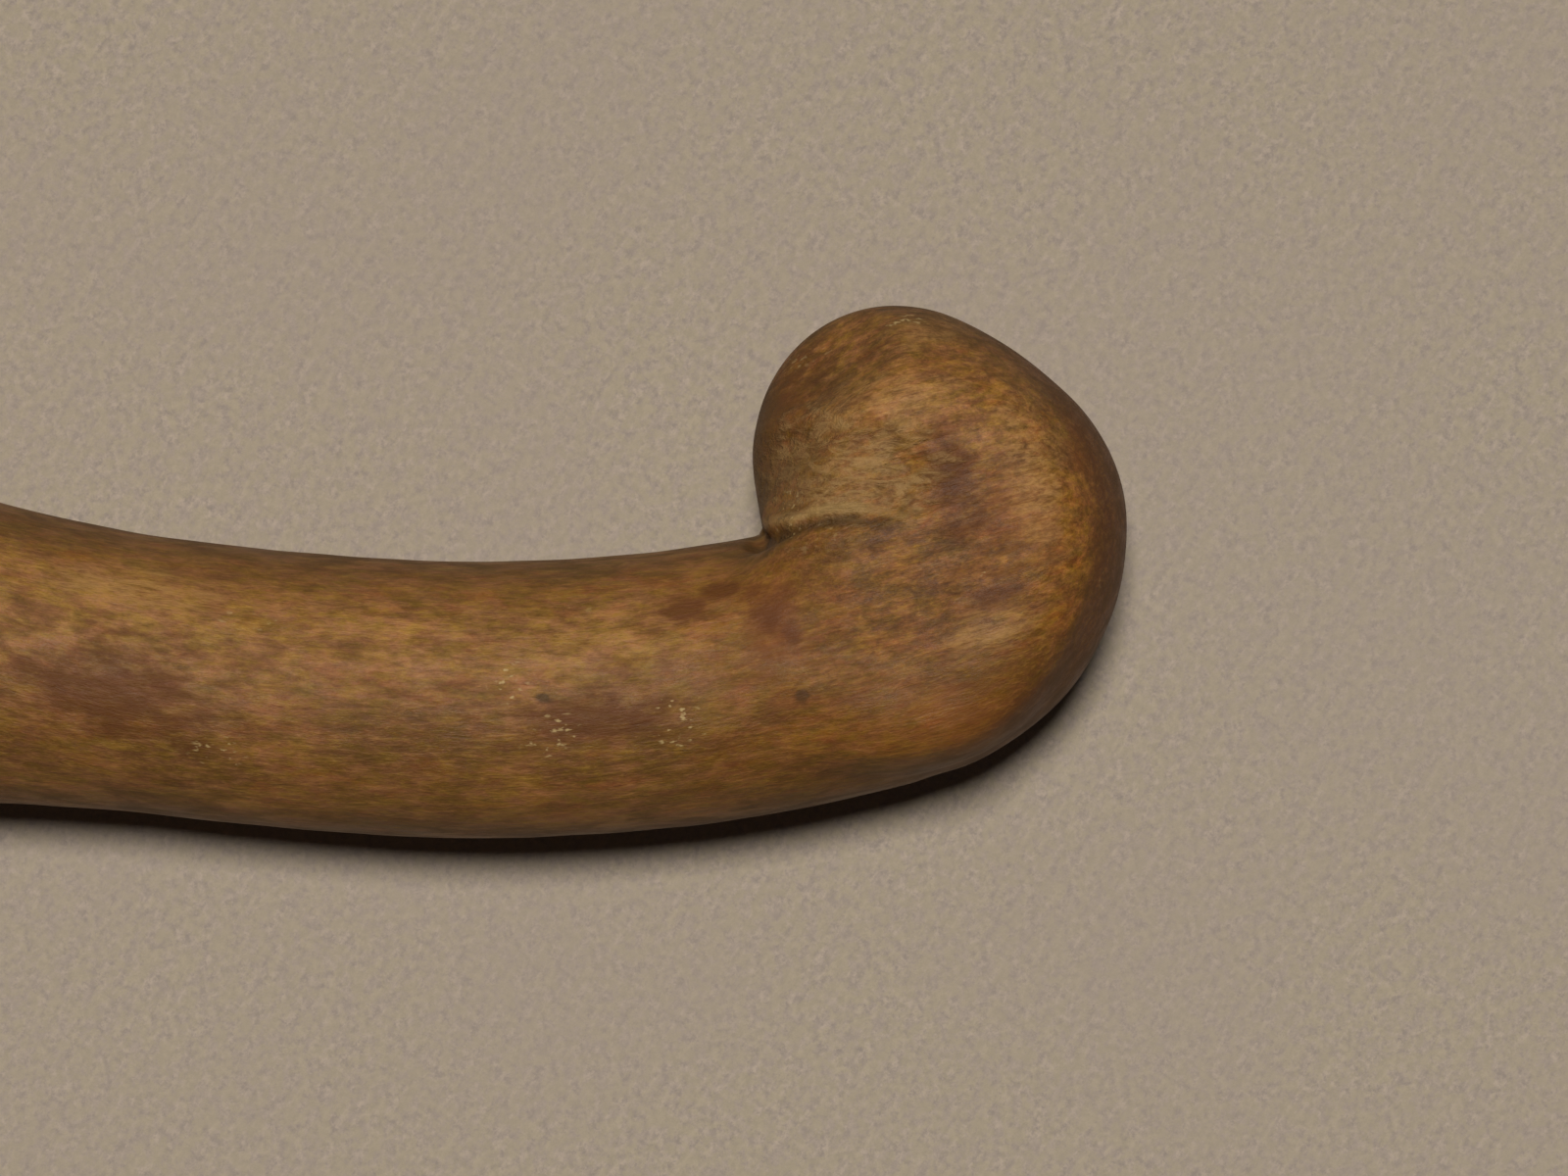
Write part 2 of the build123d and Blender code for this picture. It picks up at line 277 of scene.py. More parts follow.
def carving(places):
    """How deep the knife went into the top of the knob at each place."""
    along, forwards, up = places.T
    reach = np.hypot(
        (along - HOLLOW_CENTRE[0]) / HOLLOW_SIZE[0], (forwards - HOLLOW_CENTRE[1]) / HOLLOW_SIZE[1]
    )
    hollow = HOLLOW_DEPTH * (1 - smooth(reach, *HOLLOW_EDGE))
    from_centre = (along - CREASE_CENTRE[0], forwards - CREASE_CENTRE[1])
    off_line = np.hypot(*from_centre) - CREASE_RADIUS
    angle = np.degrees(np.arctan2(from_centre[1], from_centre[0]))
    present = smooth(angle, *CREASE_FRONT) * (1 - smooth(angle, *reversed(CREASE_BACK)))
    crease = CREASE_DEPTH * present * np.exp(-((off_line / CREASE_HALF_WIDTH) ** 2))
    return (hollow + crease) * smooth(up, *CARVED_HEIGHTS)


def surface_net(field, low):
    """Vertices and quads of a field's zero surface: one vertex in each cell that it crosses."""
    inside = field < 0
    flat = field.ravel()
    strides = np.array([field.shape[1] * field.shape[2], field.shape[2], 1])
    sums = np.zeros((3, flat.size))
    counts = np.zeros(flat.size)
    rings = []
    for axis in range(3):
        near, past = [slice(None)] * 3, [slice(None)] * 3
        near[axis], past[axis] = slice(0, -1), slice(1, None)
        places = np.argwhere(inside[tuple(near)] != inside[tuple(past)])
        start = places @ strides
        first, second = flat[start], flat[start + strides[axis]]
        crossing = places.astype(float)
        crossing[:, axis] += first / (first - second)
        one, two = strides[(axis + 1) % 3], strides[(axis + 2) % 3]
        ring = np.stack([start, start - one, start - one - two, start - two], 1)
        for cell in ring.T:
            counts += np.bincount(cell, minlength=flat.size)
            for k in range(3):
                sums[k] += np.bincount(cell, crossing[:, k], flat.size)
        backwards = first > 0
        ring[backwards] = ring[backwards][:, ::-1]
        rings.append(ring)
    used = np.flatnonzero(counts)
    number = np.full(flat.size, -1)
    number[used] = np.arange(len(used))
    vertices = (sums[:, used] / counts[used]).T * CELL + low
    return vertices, number[np.concatenate(rings)]


def sampled(field, low, points):
    """The field at any points, from the eight grid values around each."""
    where = (points - low) / CELL
    base = np.floor(where).astype(int)
    part = where - base
    value = np.zeros(len(points))
    for corner in np.ndindex(2, 2, 2):
        weight = np.prod(np.where(corner, part, 1 - part), 1)
        value += weight * field[tuple((base + corner).T)]
    return value


def slope(field, low, points):
    """The field's gradient at any points."""
    reach = CELL / 2
    steps = np.eye(3) * reach
    rises = [sampled(field, low, points + s) - sampled(field, low, points - s) for s in steps]
    return np.stack(rises, 1) / (2 * reach)


def grain_of(points):
    """Grain coordinates in mm: along the fibres, across them in the head's plane, and up."""
    bar, headings = walk_bar()
    beyond = np.arange(BAR_STEP, GRAIN_BEYOND, BAR_STEP)[:, None]
    straight = bar[-1] + beyond * np.array([cos(headings[-1]), sin(headings[-1])])
    line = np.concatenate([bar, straight])
    turns = np.concatenate([headings, np.full(len(straight), headings[-1])])
    flat = np.stack([points[:, 0], -np.abs(points[:, 1])], 1)
    batches = np.array_split(flat, 60)  # so that the table of distances stays small
    nearest = np.concatenate(
        [np.argmin(((batch[:, None] - line[None]) ** 2).sum(2), 1) for batch in batches]
    )
    offset = flat - line[nearest]
    heading = turns[nearest]
    along = nearest * BAR_STEP + offset[:, 0] * np.cos(heading) + offset[:, 1] * np.sin(heading)
    across = offset[:, 1] * np.cos(heading) - offset[:, 0] * np.sin(heading)
    return np.stack([along * -np.sign(points[:, 1]), across, points[:, 2]], 1)


def add_mesh(name, vertices, faces, **stored):
    """A smooth-shaded mesh object from points in mm in the cue's frame, with vectors stored on it."""
    mesh = bpy.data.meshes.new(name)
    mesh.from_pydata((np.asarray(vertices) * MM).tolist(), [], np.asarray(faces).tolist())
    for title, vectors in stored.items():
        layer = mesh.attributes.new(title, "FLOAT_VECTOR", "POINT")
        layer.data.foreach_set("vector", np.asarray(vectors, np.float32).ravel())
    mesh.shade_smooth()
    mesh.update()
    piece = bpy.data.objects.new(name, mesh)
    bpy.context.scene.collection.objects.link(piece)
    return piece


def wander(points, size, shift):
    """Smooth noise at each point, from about -1 to 1, with lumps of the given size."""
    return np.array([noise.noise(Vector(p) / size + Vector((shift, shift, shift))) for p in points])


def make_head():
    """The bent head, cut as one solid and then worn a little out of true by hand."""
    field, low = head_field()
    points, faces = surface_net(field, low)
    flattest = 0.2  # keeps a step short where the field is nearly flat
    for _ in range(2):
        steep = slope(field, low, points)
        points -= steep * (sampled(field, low, points) / (steep**2).sum(1).clip(flattest))[:, None]
    grain = grain_of(points)
    knob = knob_places(points)
    normal = slope(field, low, points)
    normal /= np.linalg.norm(normal, axis=1)[:, None]
    wear = sum(depth * wander(points, size, shift) for depth, size, shift in WEAR)
    wear *= smooth(points[:, 0], *WEAR_START)
    points += normal * (wear - carving(knob))[:, None]
    points[:, 2] = np.maximum(points[:, 2], -AXIS_Z)
    return add_mesh("head_bentwood", points + [HEAD_X, 0, AXIS_Z], faces, grain=grain, knob=knob)


# ---------------------------------------------------------------- the grip and its whippings
STRIP_THICKNESS = 0.7
STRIP_PITCH = 18.0
STRIP_LAP = 2.5  # each turn of the strip lies this far over the one behind
STRIP_SKIVE = 1.6  # the edges are thinned over this width
STRIP_EDGE = 0.35  # share of the thickness left at an edge
STRIP_BEYOND = 0.3  # the skiving would run out this far past an edge
STRIP_DROP = 0.6  # a turn is back on the shaft this far past the edge that it covers
STRIP_START = 2.7  # how wide the strip starts and ends
STRIP_DOUBLED = 12.3  # the strip is folded double for this far under each whipping
STRIP_UNDOUBLED = 2.0  # and thins to one layer over this width
STRIP_DOUBLE = 1.95  # thicknesses in the doubled stretch, pressed a little by the thread
STRIP_ACROSS = 16
STRIP_SEGMENTS = 80  # to a turn

THREAD_RADIUS = 0.45
THREAD_PITCH = 0.92
THREAD_SEGMENTS = 48
THREAD_SIDES = 8
THREAD_TUCK = 1.3  # how far the ends of the thread go in under the turns
THREAD_TUCK_TURN = 0.2  # part of a turn that they take to go in


def tube_faces(rings, sides):
    """Quads of a closed tube of rings of points, one ring after another."""
    ring, side = np.meshgrid(np.arange(rings - 1), np.arange(sides), indexing="ij")
    start = (ring * sides + side).ravel()
    beside = (ring * sides + (side + 1) % sides).ravel()
    walls = np.stack([start, start + sides, beside + sides, beside], 1)
    across = np.arange(sides // 2 - 1)
    back = np.stack([across, across + 1, sides - 2 - across, sides - 1 - across], 1)
    front = back[:, ::-1] + (rings - 1) * sides
    return np.concatenate([walls, back, front])


def round_axis(x, radius, angle):
    """Points in the cue's frame at a distance from its axis."""
    return np.stack([x, -radius * np.sin(angle), AXIS_Z + radius * np.cos(angle)], -1)


def make_grip():
    """The leather strip, wound forwards from the butt with each turn lapped over the last."""
    low, high = grip_low.x / MM, grip_high.x / MM
    shaft_radius = (grip_high.z - grip_low.z) / 2 / MM - 2 * STRIP_THICKNESS
    width = STRIP_PITCH + STRIP_LAP
    first = low + STRIP_START - width / 2
    last = high - STRIP_START + width / 2
    rings = int((last - first) / STRIP_PITCH * STRIP_SEGMENTS)
    turn = np.arange(rings)[:, None] / STRIP_SEGMENTS
    back_edge = first - width / 2 + STRIP_PITCH * turn
    share = np.linspace(0, 1, STRIP_ACROSS)[None]
    start, end = np.maximum(back_edge, low), np.minimum(back_edge + width, high)
    x = start + (end - start) * share
    from_back, from_front = x - back_edge, back_edge + width - x
    full = smooth(np.minimum(from_back, from_front), -STRIP_BEYOND, STRIP_SKIVE)
    edge = STRIP_EDGE + (1 - STRIP_EDGE) * full
    lift = smooth(-from_back, -STRIP_LAP - STRIP_DROP, -STRIP_LAP + STRIP_SKIVE)
    from_end = np.minimum(x - low, high - x)
    doubled = 1 - smooth(from_end, STRIP_DOUBLED, STRIP_DOUBLED + STRIP_UNDOUBLED)
    inner = shaft_radius + STRIP_THICKNESS * lift * (1 - doubled)
    outer = np.maximum(
        inner + STRIP_THICKNESS * edge, shaft_radius + STRIP_DOUBLE * STRIP_THICKNESS * doubled
    )
    angle = np.broadcast_to(2 * pi * turn, x.shape)
    outside, inside = round_axis(x, outer, angle), round_axis(x, inner, angle)[:, ::-1]
    wound = angle * shaft_radius
    cut = np.stack([wound, from_back, np.ones_like(x)], -1)
    cut_inside = np.stack([wound, from_back, np.zeros_like(x)], -1)[:, ::-1]
    points = np.concatenate([outside, inside], 1).reshape(-1, 3)
    grain = np.concatenate([cut, cut_inside], 1).reshape(-1, 3)
    faces = tube_faces(rings, 2 * STRIP_ACROSS)
    return add_mesh("grip_strip", points, faces, grain=grain)


def make_whipping(name, node):
    """A whipping of thread over one end of the leather, with its ends tucked in."""
    low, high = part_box(node)
    coil_radius = (high.z - low.z) / 2 / MM - THREAD_RADIUS
    start, end = low.x / MM + THREAD_RADIUS, high.x / MM - THREAD_RADIUS
    turns = (end - start) / THREAD_PITCH
    rings = int(turns * THREAD_SEGMENTS)
    turn = np.linspace(0, turns, rings)[:, None]
    tuck = smooth(-np.minimum(turn, turns - turn), -THREAD_TUCK_TURN, 0.0)
    radius = coil_radius - THREAD_TUCK * tuck
    side = 2 * pi * np.arange(THREAD_SIDES)[None] / THREAD_SIDES
    x = start + (end - start) * turn / turns - THREAD_RADIUS * np.sin(side)
    angle = np.broadcast_to(2 * pi * turn, x.shape)
    points = round_axis(x, radius - THREAD_RADIUS * np.cos(side), angle).reshape(-1, 3)
    grain = np.stack([angle * coil_radius, np.broadcast_to(side, x.shape), x], -1).reshape(-1, 3)
    return add_mesh(name, points, tube_faces(rings, THREAD_SIDES), grain=grain)


# ---------------------------------------------------------------- camera, floor and light
PICTURE_WIDTH = 100.0  # mm across the picture at the height of the cue's axis
CAMERA_HEIGHT = 450.0
PICTURE_TURN = 34.0  # the top of the picture is this far to the left of straight ahead
KNOB_TO_CENTRE = (-20.6, 17.9)  # from the front right corner of the head's box
LAMP_TILT = 11.4  # degrees from straight up
LAMP_TURN = 9.0  # it tilts towards the top of the picture, and this far to the left of it
LAMP_WIDTH = 10.8  # degrees across
LAMP_STRENGTH = 2.38
LAMP_COLOUR = (1.0, 0.965, 0.91)
ROOM_STRENGTH = 0.015
ROOM_COLOUR = (0.95, 0.97, 1.0, 1)
FLOOR_HALF = 40.0  # metres, so that no view reaches its edge


def make_camera():
    """Straight down on the right-hand horn."""
    camera = bpy.data.cameras.new("camera")
    camera.sensor_width = 36.0
    camera.lens = camera.sensor_width * CAMERA_HEIGHT / PICTURE_WIDTH
    camera.clip_start = 0.01
    holder = bpy.data.objects.new("camera", camera)
    holder.location = (
        head_high.x + KNOB_TO_CENTRE[0] * MM,
        head_low.y + KNOB_TO_CENTRE[1] * MM,
        (AXIS_Z + CAMERA_HEIGHT) * MM,
    )
    holder.rotation_euler = (0, 0, radians(PICTURE_TURN - 90))
    bpy.context.scene.collection.objects.link(holder)
    bpy.context.scene.camera = holder


def make_light():
    """A soft lamp almost overhead in a dim room."""
    lamp = bpy.data.lights.new("overhead_lamp", "SUN")
    lamp.energy = LAMP_STRENGTH
    lamp.angle = radians(LAMP_WIDTH)
    lamp.color = LAMP_COLOUR
    holder = bpy.data.objects.new("overhead_lamp", lamp)
    tilt, turn = radians(LAMP_TILT), radians(PICTURE_TURN + LAMP_TURN)
    towards = Vector((sin(tilt) * cos(turn), sin(tilt) * sin(turn), cos(tilt)))
    holder.rotation_euler = towards.to_track_quat("Z", "Y").to_euler()
    bpy.context.scene.collection.objects.link(holder)
    world = bpy.data.worlds.new("room")
    world.use_nodes = True
    room = world.node_tree.nodes["Background"]
    room.inputs["Color"].default_value = ROOM_COLOUR
    room.inputs["Strength"].default_value = ROOM_STRENGTH
    bpy.context.scene.world = world
    bpy.context.scene.view_settings.view_transform = "Standard"


# ---------------------------------------------------------------- finishes
MIX_ONE, MIX_OTHER, MIX_RESULT = 6, 7, 2  # the Mix node's sockets for colours


class Finish:
    """A Principled material in the making: each call adds a node and gives back its output."""

    def __init__(self, name, **constants):
        self.material = bpy.data.materials.new(name)
        self.material.use_nodes = True
        self.nodes = self.material.node_tree.nodes
        self.shader = self.nodes["Principled BSDF"]
        for socket, value in constants.items():
            self.shader.inputs[socket.replace("_", " ")].default_value = value

    def feed(self, socket, value):
        if isinstance(value, bpy.types.NodeSocket):
            self.material.node_tree.links.new(value, socket)
        else:
            socket.default_value = value

    def stored(self, title):
        """Coordinates stored on the piece, in mm."""
        node = self.nodes.new("ShaderNodeAttribute")
        node.attribute_name = title
        return node.outputs["Vector"]

    def place(self):
        """The cue's own coordinates, in mm."""
        node = self.nodes.new("ShaderNodeTexCoord")
        return self.stretch(node.outputs["Object"], (1 / MM, 1 / MM, 1 / MM))

    def stretch(self, vector, scale, shift=(0.0, 0.0, 0.0)):
        node = self.nodes.new("ShaderNodeMapping")
        self.feed(node.inputs["Vector"], vector)
        node.inputs["Scale"].default_value = scale
        node.inputs["Location"].default_value = shift
        return node.outputs["Vector"]

    def about(self, vector, centre, scale):
        """Coordinates from a centre, stretched."""
        return self.stretch(vector, scale, [-c * k for c, k in zip(centre, scale)])

    def noise(self, vector, scale, detail=3.0, roughness=0.5, distortion=0.0):
        node = self.nodes.new("ShaderNodeTexNoise")
        self.feed(node.inputs["Vector"], vector)
        node.inputs["Scale"].default_value = scale
        node.inputs["Detail"].default_value = detail
        node.inputs["Roughness"].default_value = roughness
        node.inputs["Distortion"].default_value = distortion
        return node.outputs["Fac"]

    def cells(self, vector, scale, feature="F1"):
        node = self.nodes.new("ShaderNodeTexVoronoi")
        node.feature = feature
        self.feed(node.inputs["Vector"], vector)
        node.inputs["Scale"].default_value = scale
        return node.outputs["Distance"]

    def math(self, operation, *values):
        node = self.nodes.new("ShaderNodeMath")
        node.operation = operation
        for socket, value in zip(node.inputs, values):
            self.feed(socket, value)
        return node.outputs[0]

    def span(self, value, low, high, to_low=0.0, to_high=1.0):
        """Value mapped smoothly from one range to another, and held at the ends."""
        node = self.nodes.new("ShaderNodeMapRange")
        node.interpolation_type = "SMOOTHSTEP"
        self.feed(node.inputs["Value"], value)
        node.inputs["From Min"].default_value = low
        node.inputs["From Max"].default_value = high
        node.inputs["To Min"].default_value = to_low
        node.inputs["To Max"].default_value = to_high
        return node.outputs["Result"]

    def parts(self, vector):
        node = self.nodes.new("ShaderNodeSeparateXYZ")
        self.feed(node.inputs[0], vector)
        return node.outputs

    def join(self, x, y, z=0.0):
        node = self.nodes.new("ShaderNodeCombineXYZ")
        for socket, value in zip(node.inputs, (x, y, z)):
            self.feed(socket, value)
        return node.outputs[0]

    def length(self, vector):
        node = self.nodes.new("ShaderNodeVectorMath")
        node.operation = "LENGTH"
        self.feed(node.inputs[0], vector)
        return node.outputs["Value"]

    def patch(self, vector, centre, size, ragged, edge=0.5):
        """1 inside a ragged patch and 0 outside it; ragged is noise that moves its edge."""
        raggedness = 3.0
        off = self.about(vector, centre, [1 / length for length in size])
        moved = self.math("MULTIPLY_ADD", ragged, raggedness, -raggedness / 2)
        reach = self.math("ADD", self.length(off), moved)
        return self.span(reach, 1 + edge, 1 - edge)

    def patches(self, vector, places, ragged, edge=0.5):
        """Several patches together: each place is a centre and a size."""
        whole = 0.0
        for centre, size in places:
            whole = self.math("MAXIMUM", whole, self.patch(vector, centre, size, ragged, edge))
        return whole

    def facing_up(self):
        """1 where the surface faces up, -1 where it faces down."""
        node = self.nodes.new("ShaderNodeNewGeometry")
        return self.parts(node.outputs["Normal"])["Z"]

    def mix(self, share, one, other, blend="MIX"):
        node = self.nodes.new("ShaderNodeMix")
        node.data_type = "RGBA"
        node.blend_type = blend
        self.feed(node.inputs["Factor"], share)
        self.feed(node.inputs[MIX_ONE], one)
        self.feed(node.inputs[MIX_OTHER], other)
        return node.outputs[MIX_RESULT]

    def bump(self, height, distance, strength=1.0, under=None):
        node = self.nodes.new("ShaderNodeBump")
        node.inputs["Distance"].default_value = distance * MM
        node.inputs["Strength"].default_value = strength
        self.feed(node.inputs["Height"], height)
        if under is not None:
            self.feed(node.inputs["Normal"], under)
        return node.outputs["Normal"]

    def finish(self, colour=None, roughness=None, normal=None, metallic=None):
        named = {"Base Color": colour, "Roughness": roughness, "Normal": normal, "Metallic": metallic}
        for socket, value in named.items():
            if value is not None:
                self.feed(self.shader.inputs[socket], value)
        return self.material


def colour(red, green, blue):
    """An opaque colour from linear parts."""
    return (red, green, blue, 1.0)


# Marks on the right-hand horn in grain coordinates: where each is, then its half size each way
TOP = 9.0  # height of the marked face
STAINS = (
    ((81.4, 5.7, TOP), (1.4, 0.7, 9)),
    ((82.8, 5.1, TOP), (1.3, 0.9, 9)),
    ((84.2, 3.9, TOP), (1.5, 1.1, 9)),
    ((85.1, 2.3, TOP), (0.6, 1.1, 9)),
    ((78.6, 4.9, TOP), (1.5, 0.7, 9)),
    ((98.3, 1.8, TOP), (1.7, 0.9, 9)),
    ((97.4, 9.5, TOP), (1.5, 3.0, 9)),
    ((87.0, 18.0, TOP), (3.6, 3.2, 12)),
    ((72.0, -1.4, TOP), (4.5, 1.3, 9)),
    ((42.0, -1.4, TOP), (6.0, 2.4, 9)),
)
WORN_PATCHES = (
    ((102.4, 8.5, TOP), (1.5, 4.5, 9)),
    ((94.5, 15.0, TOP), (3.5, 1.4, 9)),
    ((99.0, 19.0, TOP), (3.0, 1.0, 9)),
    ((97.5, -0.5, TOP), (2.6, 1.0, 9)),
    ((42.0, 5.4, TOP), (5.0, 1.0, 9)),
)
DARK_SPOTS = (((85.0, -1.6, TOP), (0.4, 0.35, 9)), ((69.0, 0.2, TOP), (0.5, 0.3, 9)))
RED_PATCHES = (
    ((94.3, -5.4, TOP), (3.5, 2.0, 12)),
    ((100.5, 6.0, TOP), (2.2, 2.6, 9)),
    ((84.0, 2.6, TOP), (1.6, 3.0, 9)),
    ((106.0, 9.5, TOP), (0.9, 2.2, 12)),
)
FLECKED = (  # where the pores are full of pale dust
    ((67.1, 1.4, TOP), (1.1, 1.5, 9)),
    ((69.8, -2.2, TOP), (1.5, 1.1, 9)),
    ((77.4, -2.2, TOP), (1.2, 1.9, 9)),
    ((49.3, -3.9, TOP), (1.2, 0.8, 9)),
    ((86.4, 10.6, TOP), (0.9, 1.3, 12)),
    ((98.4, 3.2, TOP), (0.8, 0.4, 9)),
    ((97.0, 20.0, TOP), (1.4, 0.6, 9)),
)
# the knob's flank is darkened with painted shade
FLANK = ((-10.4, 3.0, 4.0), (1.7, 6.0, 12))  # dark side of the knob, in knob coordinates

# Places along the grain, from the head's middle, where the horn's parts begin and end
BAR_END = 74.0
TOE_START_ALONG = 84.0
KNOB_START_ALONG = 92.0

# The dark band round the outer side of the toe, in knob coordinates
BAND_CENTRE = (-2.5, -2.65)
BAND_RADII = (13.1, 14.4)  # it darkens from the first to the second
BAND_SIDE = (5.0, 10.5)  # and towards this side

# The head's colours, roughly from the first laid on to the last
DEEP_BROWN = colour(0.24, 0.112, 0.034)
WARM_BROWN = colour(0.37, 0.172, 0.056)
RED_BROWN = colour(0.31, 0.1, 0.024)
OLIVE_BROWN = colour(0.25, 0.15, 0.042)
RUBBED_FRONT_HIGHLIGHT = colour(0.5, 0.265, 0.09)
BACK_SHADE = colour(0.17, 0.083, 0.024)
DARK_MOTTLE = colour(0.16, 0.075, 0.02)
DARK_STREAK = colour(0.12, 0.055, 0.014)
PALE_STREAK = colour(0.5, 0.27, 0.085)
DARK_FIBRE = colour(0.11, 0.054, 0.016)
PALE_FIBRE = colour(0.54, 0.31, 0.1)
RED_STAIN = colour(0.3, 0.09, 0.022)
DARK_STAIN = colour(0.125, 0.038, 0.009)
WORN_WOOD = colour(0.52, 0.28, 0.095)
SPOT = colour(0.06, 0.03, 0.01)
FLANK_SHADE = colour(0.12, 0.062, 0.024)
FRESH_CUT = colour(0.5, 0.3, 0.115)
CREASE_SHADE = colour(0.06, 0.033, 0.012)
CREASE_LIP = colour(0.5, 0.32, 0.12)
BAND_RED = colour(0.125, 0.034, 0.008)
RIM_SHADE = colour(0.11, 0.058, 0.018)
PORE_DUST = colour(0.62, 0.45, 0.2)

# Tints that multiply the head's colours
SHADE = (colour(0.6, 0.57, 0.55), colour(1.36, 1.35, 1.33))
GRIT = (colour(0.78, 0.76, 0.74), colour(1.18, 1.18, 1.17))
HUE = (colour(0.92, 0.95, 0.52), colour(1.0, 0.88, 0.98))
TOE_TINT = colour(0.95, 0.88, 0.68)


def head_fields(f):
    """The places and noises that the head's wood is painted by."""
    grain, knob = f.stored("grain"), f.stored("knob")
    along, across, _ = f.parts(grain)
    from_middle = f.math("ABSOLUTE", along)
    on_knob = f.math(
        "MULTIPLY", f.span(from_middle, TOE_START_ALONG, KNOB_START_ALONG), f.span(across, -5.0, 3.0)
    )
    mottling = f.noise(f.stretch(grain, (0.3, 0.75, 0.75), (4, 4, 4)), 1.0, 5.0, 0.65, 0.3)
    return SimpleNamespace(
        grain=grain,
        knob=knob,
        across=across,
        from_middle=from_middle,
        on_knob=on_knob,
        clouds=f.noise(f.stretch(grain, (0.08, 0.16, 0.16), (1, 9, 2)), 1.0, 3.0, 0.6),
        mottling=mottling,
        streaks=f.noise(f.stretch(grain, (0.5, 2.6, 2.6)), 1.0, 5.0, 0.72, 0.5),
        fine=f.noise(f.stretch(grain, (1.7, 6.5, 6.5), (3, 1, 5)), 1.0, 3.0, 0.7, 0.3),
        hollow=f.patch(knob, (*HOLLOW_CENTRE, TOP), (*HOLLOW_SIZE, 9), mottling, 0.35),
        cuts=f.noise(f.stretch(knob, (0.55, 1.7, 0.5), (2, 2, 2)), 1.0, 5.0, 0.72, 0.8),
    )


def streaked_wood(f, at):
    """Brown wood in clouds and streaks, paler along the front from rubbing and a painted highlight,
    and darker at the back with painted shade.
    """
    reds = f.noise(f.stretch(at.grain, (0.28, 0.7, 0.7), (8, 2, 6)), 1.0, 5.0, 0.7, 0.4)
    olives = f.noise(f.stretch(at.grain, (0.3, 0.75, 0.75), (5, 7, 1)), 1.0, 5.0, 0.7, 0.4)
    base = f.mix(f.span(at.clouds, 0.38, 0.62), DEEP_BROWN, WARM_BROWN)
    base = f.mix(f.span(reds, 0.48, 0.64, 0, 0.6), base, RED_BROWN)
    base = f.mix(f.span(olives, 0.5, 0.64, 0, 0.5), base, OLIVE_BROWN)
    # paler band along the front of the bar: rubbed wear together with a painted highlight
    rubbed = f.math("MULTIPLY", f.span(at.across, 0.0, 3.4), f.span(at.across, 7.4, 4.6))
    rubbed = f.math("MULTIPLY", rubbed, f.span(at.mottling, 0.35, 0.62, 0.15, 0.6))
    rubbed = f.math("MULTIPLY", rubbed, f.span(at.from_middle, TOE_START_ALONG, BAR_END))
    base = f.mix(rubbed, base, RUBBED_FRONT_HIGHLIGHT)
    # painted shade: darker towards the back side of the bar and toe
    back = f.math("MULTIPLY", f.span(at.across, 1.5, -3.0), f.span(at.clouds, 0.62, 0.42))
    base = f.mix(f.math("MULTIPLY", back, 0.5), base, BACK_SHADE)
    base = f.mix(f.span(at.mottling, 0.6, 0.34, 0, 0.5), base, DARK_MOTTLE)
    base = f.mix(f.span(at.streaks, 0.55, 0.3, 0, 0.4), base, DARK_STREAK)
    base = f.mix(f.span(at.streaks, 0.47, 0.7, 0, 0.34), base, PALE_STREAK)
    base = f.mix(f.span(at.fine, 0.5, 0.75, 0, 0.3), base, PALE_FIBRE)
    return f.mix(f.span(at.fine, 0.5, 0.25, 0, 0.3), base, DARK_FIBRE)


def tinted_wood(f, at, base):
    """Blotches light and dark, strongest on the knob, a warmer toe, and a hue that wanders."""
    blotches = f.noise(f.stretch(at.grain, (0.5, 0.8, 0.8), (2, 3, 9)), 1.0, 6.0, 0.78, 0.3)
    shade = f.mix(f.span(blotches, 0.36, 0.64), *SHADE)
    base = f.mix(f.math("MULTIPLY_ADD", at.on_knob, 0.5, 0.42), base, shade, "MULTIPLY")
    toe = f.math(
        "MULTIPLY", f.span(at.from_middle, BAR_END, TOE_START_ALONG), f.span(at.across, 12.0, 4.0)
    )
    base = f.mix(toe, base, TOE_TINT, "MULTIPLY")
    tint = f.noise(f.stretch(at.grain, (0.55, 1.3, 1.3), (6, 6, 3)), 1.0, 5.0, 0.8)
    return f.mix(1.0, base, f.mix(f.span(tint, 0.38, 0.62), *HUE), "MULTIPLY")


def marked_wood(f, at, base):
    """Red patches, stains, worn patches and dark spots, each at its own place."""
    red = f.patches(at.grain, RED_PATCHES, at.mottling, 0.7)
    base = f.mix(f.math("MULTIPLY", red, 0.35), base, RED_STAIN)
    stain = f.patches(at.grain, STAINS, at.mottling, 0.7)
    base = f.mix(f.math("MULTIPLY", stain, 0.74), base, DARK_STAIN)
    worn = f.patches(at.grain, WORN_PATCHES, at.mottling, 0.7)
    worn = f.math("MULTIPLY", worn, f.span(at.streaks, 0.36, 0.62, 0.1, 0.62))
    base = f.mix(worn, base, WORN_WOOD)
    spots = f.patches(at.grain, DARK_SPOTS, at.mottling)
    return f.mix(f.math("MULTIPLY", spots, 0.7), base, SPOT)


